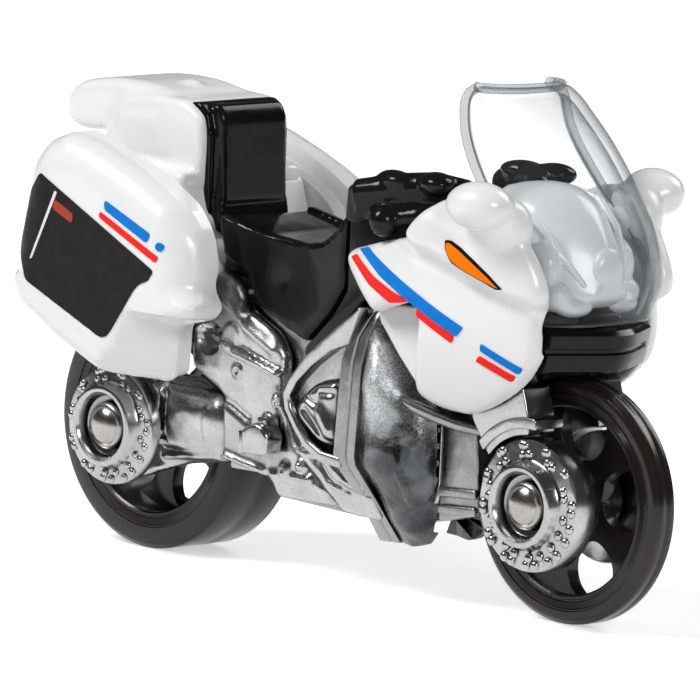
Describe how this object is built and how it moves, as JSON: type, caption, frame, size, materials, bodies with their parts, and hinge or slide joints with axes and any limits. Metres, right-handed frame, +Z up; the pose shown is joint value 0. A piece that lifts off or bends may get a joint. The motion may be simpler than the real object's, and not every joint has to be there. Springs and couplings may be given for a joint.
{
  "type": "toy motorcycle",
  "caption": "Small free-rolling die-cast toy of a police touring motorcycle, with panniers, top case, bowed clear screen and wheels that spin on riveted pins.",
  "frame": {"origin": "middle of the length and width, on the ground under the tyres", "axes": "+X towards the front wheel, +Y towards the rider's left, +Z up"},
  "size_m": [0.0662, 0.0262, 0.0428],
  "materials": {
    "zinc": "bare zinc die-casting, bright and slightly lumpy",
    "rivet_steel": "dull spun rivet heads",
    "white_plastic": "glossy white with printed stripes",
    "black_plastic": "semi-gloss black",
    "wheel_plastic": "glossy black, tyre and wheel in one moulding",
    "clear_smoke": "clear plastic with a light grey smoke tint"
  },
  "bodies": {
    "chassis": {"engine_block": "zinc", "belly": "zinc", "front_frame_right": "zinc", "front_frame_left": "zinc", "side_casting_right": "zinc", "side_casting_left": "zinc", "footrest_right": "zinc", "footrest_left": "zinc", "swing_arm_right": "zinc", "swing_arm_left": "zinc", "cylinder_right": "zinc", "cylinder_left": "zinc", "guard_loop_right": "zinc", "guard_loop_left": "zinc", "cowl_right": "zinc", "cowl_left": "zinc", "fork_right": "zinc", "fork_left": "zinc", "front_disc_right": "zinc", "front_disc_left": "zinc", "rear_disc_right": "zinc", "rear_disc_left": "zinc", "front_axle": "rivet_steel", "rear_axle": "rivet_steel", "pannier_right": "white_plastic", "pannier_left": "white_plastic", "tail": "white_plastic", "top_case": "white_plastic", "fairing_right": "white_plastic", "fairing_left": "white_plastic", "fairing_inner_right": "white_plastic", "fairing_inner_left": "white_plastic", "mirror_right": "white_plastic", "mirror_left": "white_plastic", "nose": "white_plastic", "seat": "black_plastic", "backrest": "black_plastic", "tank": "black_plastic", "handlebar": "black_plastic", "beak": "black_plastic", "mudguard": "black_plastic", "windscreen": "clear_smoke"},
    "front_wheel": {"front_wheel": "wheel_plastic"},
    "rear_wheel": {"rear_wheel": "wheel_plastic"}
  },
  "joints": [
    {"name": "front_wheel_spin", "type": "hinge", "parent": "chassis", "child": "front_wheel", "pos_m": [0.02305, 0, 0.01], "axis": [0, 1, 0], "continuous": true},
    {"name": "rear_wheel_spin", "type": "hinge", "parent": "chassis", "child": "rear_wheel", "pos_m": [-0.02235, 0, 0.0107], "axis": [0, 1, 0], "continuous": true}
  ]
}
